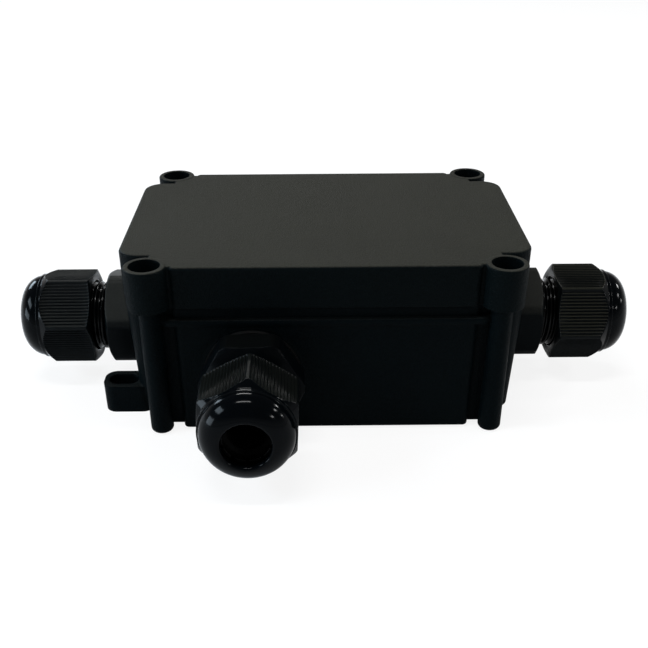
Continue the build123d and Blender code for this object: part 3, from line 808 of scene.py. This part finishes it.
@dataclass
class GlandBody:
    """Gland body: hexagon with bevelled corners between two threaded ends. Sizes in millimetres."""

    turn: float
    entry_tip: float = -11.2
    hex_start: float = 1.4
    hex_end: float = 8.7
    neck_tip: float = 22.3
    flats: float = 25.0
    corner_cut: float = 1.3
    hex_bevel: float = 1.2
    thread_r: float = 9.8
    neck_pitch: float = 2.0
    neck_depth: float = 0.85
    entry_pitch: float = 1.5
    entry_depth: float = 0.6
    cable_r: float = 6.5
    pocket_r: float = 8.35
    pocket_bottom: float = 11.1
    edge_blend: float = 0.09
    turns_samples: int = 9
    tip_bevel: float = 0.8
    tip_slope: float = 0.9
    root_share: float = 0.22
    flank_share: float = 0.5

    def angles(self) -> list[float]:
        """Angles round the axis: even steps, with more round each corner.

        Returns:
            The angles in radians, rising.
        """
        steps = 24
        found = []
        for corner in range(6):
            start = math.radians(self.turn + 60 * corner)
            for step in range(-steps // 2, steps // 2):
                share = 2 * step / steps
                found.append(start + math.radians(30) * share * abs(share) ** 0.45)
        return sorted(angle % (2 * math.pi) for angle in found)

    def thread(self, along: float, angle: float, pitch: float, depth: float) -> float:
        """Radius of a rounded right-handed thread.

        Args:
            along: distance along the axis.
            angle: the direction in radians.
            pitch: distance between turns.
            depth: from crest to root.

        Returns:
            The radius.
        """
        phase = (along / pitch + angle / (2 * math.pi)) % 1.0
        slope = abs(2 * phase - 1)
        height = min(1.0, max(0.0, (slope - self.root_share) / self.flank_share))
        smooth = height * height * (3 - 2 * height)
        return self.thread_r - depth * (1 - smooth)

    def threaded_rows(self, angles: list[float], start: float, end: float, pitch: float, depth: float,
                      ) -> list[list[tuple[float, float]]]:
        """Rows of one threaded end, run out where it meets the hexagon and bevelled at its tip.

        Args:
            angles: the angles round the axis.
            start: where the rows start along the axis.
            end: where they end.
            pitch: distance between turns.
            depth: from crest to root.

        Returns:
            The rows.
        """
        tip = self.entry_tip if end <= self.hex_start else self.neck_tip
        count = max(8, round(abs(end - start) / pitch * self.turns_samples))
        rows = []
        for step in range(count + 1):
            along = start + (end - start) * step / count
            bevel = self.thread_r - max(0.0, self.tip_bevel - abs(tip - along)) * self.tip_slope
            rows.append([(min(self.thread(along, angle, pitch, depth), bevel), along) for angle in angles])
        return rows

    def rows(self, angles: list[float]) -> list[list[tuple[float, float]]]:
        """Rows of points along the outside from the entry's tip to the neck's, and back through the bore.

        Args:
            angles: the angles round the axis.

        Returns:
            For each row, a radius and a distance along the axis for each angle.
        """
        turn = math.radians(self.turn)
        relief = self.thread_r - self.neck_depth
        rows = self.threaded_rows(angles, self.entry_tip, self.hex_start - 0.5, self.entry_pitch, self.entry_depth)
        rows += [[(relief, self.hex_start)] * len(angles)]
        rise = self.flats / math.sqrt(3) - self.flats / 2
        stations = [self.hex_start + step * 0.1 for step in range(4)]
        stations += [self.hex_start + 2.5, self.hex_start + 4.6]
        stations += [self.hex_end - self.hex_bevel + self.hex_bevel * step / 8 for step in range(-1, 9)]
        for along in stations:
            cone = self.flats / 2 + (self.hex_end + 0.1 - along) / self.hex_bevel * rise
            foot = self.flats / 2 + (along - self.hex_start + 0.25) / 0.3 * rise
            row = []
            for angle in angles:
                side = hexagon_reach(angle - turn, self.flats, self.corner_cut, self.edge_blend)
                row.append((soft_min((side, cone, foot), self.edge_blend), along))
            rows.append(row)
        rows += [[(relief + 0.15, self.hex_end)] * len(angles), [(relief, self.hex_end + 0.15)] * len(angles)]
        rows += self.threaded_rows(angles, self.hex_end + 0.4, self.neck_tip, self.neck_pitch, self.neck_depth)
        inside = [
            (self.pocket_r, self.neck_tip), (self.pocket_r, self.pocket_bottom), (self.cable_r, self.pocket_bottom),
            (self.cable_r, self.entry_tip),
        ]
        rows += [[point] * len(angles) for point in inside]
        return rows

    def build(self, side: Side, seat: Seat, finishes: tuple[bpy.types.Material, ...]) -> bpy.types.Object:
        """Make the body in place of its plain solid.

        Args:
            side: the gland's wall.
            seat: where the gland stands.
            finishes: the materials of its hexagon and of its threaded ends.

        Returns:
            The body.
        """
        angles = self.angles()
        piece = ring_mesh(f"{side.prefix}_threaded_body", self.rows(angles), angles, seat)
        for finish in finishes:
            piece.data.materials.append(finish)
        for face in piece.data.polygons:
            along = (face.center - seat.origin).dot(seat.outward) / MM
            face.material_index = int(not self.hex_start <= along <= self.hex_end)
        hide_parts(f"{side.prefix}_gland_body")
        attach(piece, "base")
        return piece


@dataclass
class Gland:
    """One cable gland: its turned pieces, and the finishes of those that stay as they are."""

    side: Side
    nut: GlandNut
    body: GlandBody
    rib_finish: MouldedPlastic
    body_finish: MouldedPlastic

    def build(self, dresser: "Dresser") -> list[bpy.types.Object]:
        """Make and dress the gland.

        Args:
            dresser: gives each piece its finish.

        Returns:
            The new pieces.
        """
        seat = Seat.from_frame(self.side)
        made = [
            self.nut.build(self.side, seat, (dresser.material(self.rib_finish), dresser.material(DOME_NYLON))),
            self.body.build(self.side, seat, (dresser.material(self.body_finish), dresser.material(THREAD_NYLON))),
        ]
        prefix = self.side.prefix
        dresser.dress(f"{prefix}_gland_washer", SEAL_RUBBER)
        dresser.dress(f"{prefix}_gland_locknut", self.body_finish)
        dresser.dress(f"{prefix}_gland_cage", CAGE_NYLON)
        dresser.dress(f"{prefix}_gland_seal", SEAL_RUBBER)
        return made


@dataclass
class Dresser:
    """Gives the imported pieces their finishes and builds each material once."""

    effects: SharedEffects
    nodes: dict[str, bpy.types.Object]
    built: dict[str, bpy.types.Material] = field(default_factory=dict)

    def material(self, finish: MouldedPlastic | TurnedMetal) -> bpy.types.Material:
        """The material of a finish, built on its first use.

        Args:
            finish: the finish.

        Returns:
            The material.
        """
        if finish.name not in self.built:
            self.built[finish.name] = finish.build(self.effects)
        return self.built[finish.name]

    def dress(self, node: str, finish: MouldedPlastic | TurnedMetal) -> None:
        """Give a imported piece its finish.

        Args:
            node: the piece's name.
            finish: the finish.
        """
        piece = self.nodes[node]
        if not piece.material_slots:
            piece.data.materials.append(None)
        for slot in piece.material_slots:
            slot.link = "OBJECT"
            slot.material = self.material(finish)


@dataclass
class Housing:
    """Base, lid, gasket, screws and inserts."""

    finishes: dict[str, MouldedPlastic | TurnedMetal] = field(default_factory=lambda: {
        "base_box": BASE_PLASTIC,
        "lid": LID_PLASTIC,
        "lid_gasket": SEAL_RUBBER,
        "lid_screws": PLATED_STEEL,
        "thread_inserts": BRASS,
    })

    def build(self, dresser: Dresser) -> None:
        """Dress the housing's pieces."""
        for node, finish in self.finishes.items():
            dresser.dress(node, finish)


@dataclass
class TerminalStrip:
    """The terminal strip inside the box, its barrels and its screws."""

    finishes: dict[str, MouldedPlastic | TurnedMetal] = field(default_factory=lambda: {
        "terminal_strip": TERMINAL_NYLON,
        "terminal_barrels": BRASS,
        "clamp_screws": PLATED_STEEL,
        "strip_screws": PLATED_STEEL,
    })

    def build(self, dresser: Dresser) -> None:
        """Dress the strip's pieces."""
        for node, finish in self.finishes.items():
            dresser.dress(node, finish)


@dataclass(frozen=True)
class Lamp:
    """A rectangular lamp that faces the box: its direction, its angles across and high, and its radiance."""

    name: str
    direction: tuple[float, float, float]
    width: float
    height: float
    radiance: float
    tint: tuple[float, float, float] = (1.0, 1.0, 1.0)
    distance: float = 0.9

    def build(self, target: Vector) -> bpy.types.Object:
        """Place the lamp, with its width along the long walls where it hangs overhead and level elsewhere.

        Args:
            target: the point that it faces.

        Returns:
            The lamp.
        """
        light = bpy.data.lights.new(self.name, "AREA")
        light.shape = "RECTANGLE"
        light.size = 2 * self.distance * math.tan(math.radians(self.width / 2))
        light.size_y = 2 * self.distance * math.tan(math.radians(self.height / 2))
        light.energy = self.radiance * math.pi * light.size * light.size_y
        light.color = self.tint
        away = Vector(self.direction).normalized()
        level = Vector((0.0, 0.0, 1.0)).cross(away)
        across = level if away.z < 0.65 else Vector((1.0, 0.0, 0.0)) - away * away.x
        across.normalize()
        lamp = bpy.data.objects.new(self.name, light)
        axes = Matrix((across, away.cross(across), away)).transposed().to_4x4()
        lamp.matrix_world = Matrix.Translation(target + away * self.distance) @ axes
        bpy.context.collection.objects.link(lamp)
        return lamp


@dataclass
class Studio:
    """Pale floor, white surroundings, lamps and the camera."""

    camera_place: tuple[float, float, float] = (-0.003757, -0.244853, 0.140309)
    yaw: float = 0.0061
    pitch: float = 0.5736
    roll: float = -0.0056
    focal_px: float = 918.233
    frame_px: float = 648.0
    axis_px: tuple[float, float] = (316.843, 413.403)
    sensor_mm: float = 36.0
    floor_size: float = 6.0
    lamps: tuple[Lamp, ...] = (
        Lamp("overhead_strip", (-0.12, -0.15, 0.98), 26.0, 3.0, 75.0),
        Lamp("rear_strip", (-0.11, 0.68, 0.73), 21.0, 3.0, 60.0),
        Lamp("left_window_high", (-0.819, -0.182, 0.545), 26.0, 12.0, 22.0, (0.72, 0.87, 1.0)),
        Lamp("left_window_low", (-0.969, -0.215, 0.122), 26.0, 13.0, 16.0, (0.72, 0.87, 1.0)),
        Lamp("rear_left_window", (-0.660, 0.637, 0.399), 18.0, 12.0, 22.0, (0.72, 0.87, 1.0)),
        Lamp("rear_right_lamp", (0.787, 0.401, 0.469), 7.0, 5.0, 60.0),
        Lamp("right_lamp_high", (0.838, -0.029, 0.545), 7.0, 5.0, 60.0),
        Lamp("right_lamp_low", (0.961, 0.034, 0.276), 5.0, 4.0, 50.0),
        Lamp("front_right_lamp", (0.720, -0.562, 0.407), 7.0, 4.0, 60.0),
    )

    def build(self, target: Vector) -> None:
        """Build everything round the box.

        Args:
            target: the middle of the box.
        """
        self._camera()
        self._floor()
        self._world()
        for lamp in self.lamps:
            lamp.build(target)

    def _camera(self) -> None:
        """Create the camera at the photograph's viewing angle."""
        data = bpy.data.cameras.new("camera")
        data.sensor_width = self.sensor_mm
        data.lens = self.focal_px / self.frame_px * self.sensor_mm
        data.shift_x = (self.frame_px / 2 - self.axis_px[0]) / self.frame_px
        data.shift_y = (self.axis_px[1] - self.frame_px / 2) / self.frame_px
        data.clip_start = 0.01
        data.clip_end = 20.0
        ahead = Vector((
            math.sin(self.yaw) * math.cos(self.pitch),
            math.cos(self.yaw) * math.cos(self.pitch),
            -math.sin(self.pitch),
        ))
        right = Vector((math.cos(self.yaw), -math.sin(self.yaw), 0.0))
        up = right.cross(ahead)
        turned_right = right * math.cos(self.roll) + up * math.sin(self.roll)
        turned_up = up * math.cos(self.roll) - right * math.sin(self.roll)
        camera = bpy.data.objects.new("camera", data)
        axes = Matrix((turned_right, turned_up, -ahead)).transposed().to_4x4()
        camera.matrix_world = Matrix.Translation(Vector(self.camera_place)) @ axes
        bpy.context.collection.objects.link(camera)
        bpy.context.scene.camera = camera

    @staticmethod
    def _seen(nodes: NodeTree) -> bpy.types.NodeSocket:
        """A mask that is 1 for camera and transmission rays and less for mirrored ones, which see the shadow too.

        Args:
            nodes: the tree to add it to.

        Returns:
            The mask's socket.
        """
        path = nodes.add("ShaderNodeLightPath")
        mirrored = nodes.math("MULTIPLY", path.outputs["Is Glossy Ray"], 0.18)
        seen = nodes.math("MAXIMUM", path.outputs["Is Camera Ray"], mirrored)
        return nodes.math("MAXIMUM", seen, path.outputs["Is Transmission Ray"])

    def _floor(self) -> None:
        """Lay the pale floor, which fades to white and keeps a light shadow."""
        mesh = bpy.data.meshes.new("floor")
        half = self.floor_size / 2
        mesh.from_pydata([(-half, -half, 0), (half, -half, 0), (half, half, 0), (-half, half, 0)], [], [(0, 1, 2, 3)])
        floor = bpy.data.objects.new("floor", mesh)
        bpy.context.collection.objects.link(floor)
        material = bpy.data.materials.new("pale_floor")
        material.use_nodes = True
        nodes = NodeTree(material.node_tree)
        material.node_tree.nodes.remove(material.node_tree.nodes["Principled BSDF"])
        matt = nodes.add("ShaderNodeBsdfDiffuse")
        matt.inputs["Color"].default_value = (0.8, 0.8, 0.8, 1.0)
        glow = nodes.add("ShaderNodeEmission")
        blend = nodes.add("ShaderNodeMixShader")
        nodes.link(nodes.math("MULTIPLY", self._seen(nodes), 0.86), blend.inputs[0])
        nodes.link(matt.outputs[0], blend.inputs[1])
        nodes.link(glow.outputs[0], blend.inputs[2])
        nodes.link(blend.outputs[0], material.node_tree.nodes["Material Output"].inputs["Surface"])
        mesh.materials.append(material)

    def _world(self) -> None:
        """White surroundings for what is seen, dimmer for what is lit."""
        world = bpy.data.worlds.new("surroundings")
        bpy.context.scene.world = world
        world.use_nodes = True
        nodes = NodeTree(world.node_tree)
        background = world.node_tree.nodes["Background"]
        path = nodes.add("ShaderNodeLightPath")
        place = nodes.add("ShaderNodeTexCoord")
        split = nodes.add("ShaderNodeSeparateXYZ")
        nodes.link(place.outputs["Generated"], split.inputs[0])
        sweep = nodes.remap(split.outputs["Z"], 0.05, 0.4, 1.0, 0.05)
        mirrored = nodes.math("MAXIMUM", path.outputs["Is Glossy Ray"], path.outputs["Is Transmission Ray"])
        lit = nodes.math("MULTIPLY", mirrored, sweep)
        ambient = 0.22
        base = nodes.math("MAXIMUM", lit, ambient)
        nodes.link(nodes.math("MAXIMUM", base, path.outputs["Is Camera Ray"]), background.inputs["Strength"])
        background.inputs["Color"].default_value = (1.0, 1.0, 1.0, 1.0)


def main() -> None:
    """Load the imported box, make its pieces in order and report each."""
    logging.basicConfig(level=logging.INFO, format="%(name)s: %(message)s")
    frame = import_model()
    bpy.context.scene.view_settings.view_transform = "Standard"
    dresser = Dresser(SharedEffects(), frame["nodes"])
    Housing().build(dresser)
    TerminalStrip().build(dresser)
    glands = (
        Gland(Side.LEFT, GlandNut(turn=-19.4), GlandBody(turn=-15.5), RIB_NYLON, BODY_NYLON),
        # The right nut takes the copy with brighter painted top light.
        Gland(Side.RIGHT, GlandNut(turn=37.4), GlandBody(turn=2.8), WARM_TOP_LIT_RIB_NYLON, BODY_NYLON),
        # The front gland takes the darker copies with painted shade.
        Gland(Side.FRONT, GlandNut(turn=-2.3), GlandBody(turn=31.0), PAINTED_SHADE_RIB_NYLON, PAINTED_SHADE_BODY_NYLON),
    )
    for gland in glands:
        for piece in gland.build(dresser):
            LOG.info("%s: %d faces", piece.name, len(piece.data.polygons))
    low, high = (Vector(corner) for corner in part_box("base_box"))
    Studio().build((low + high) / 2)


if __name__ == "__main__":
    main()
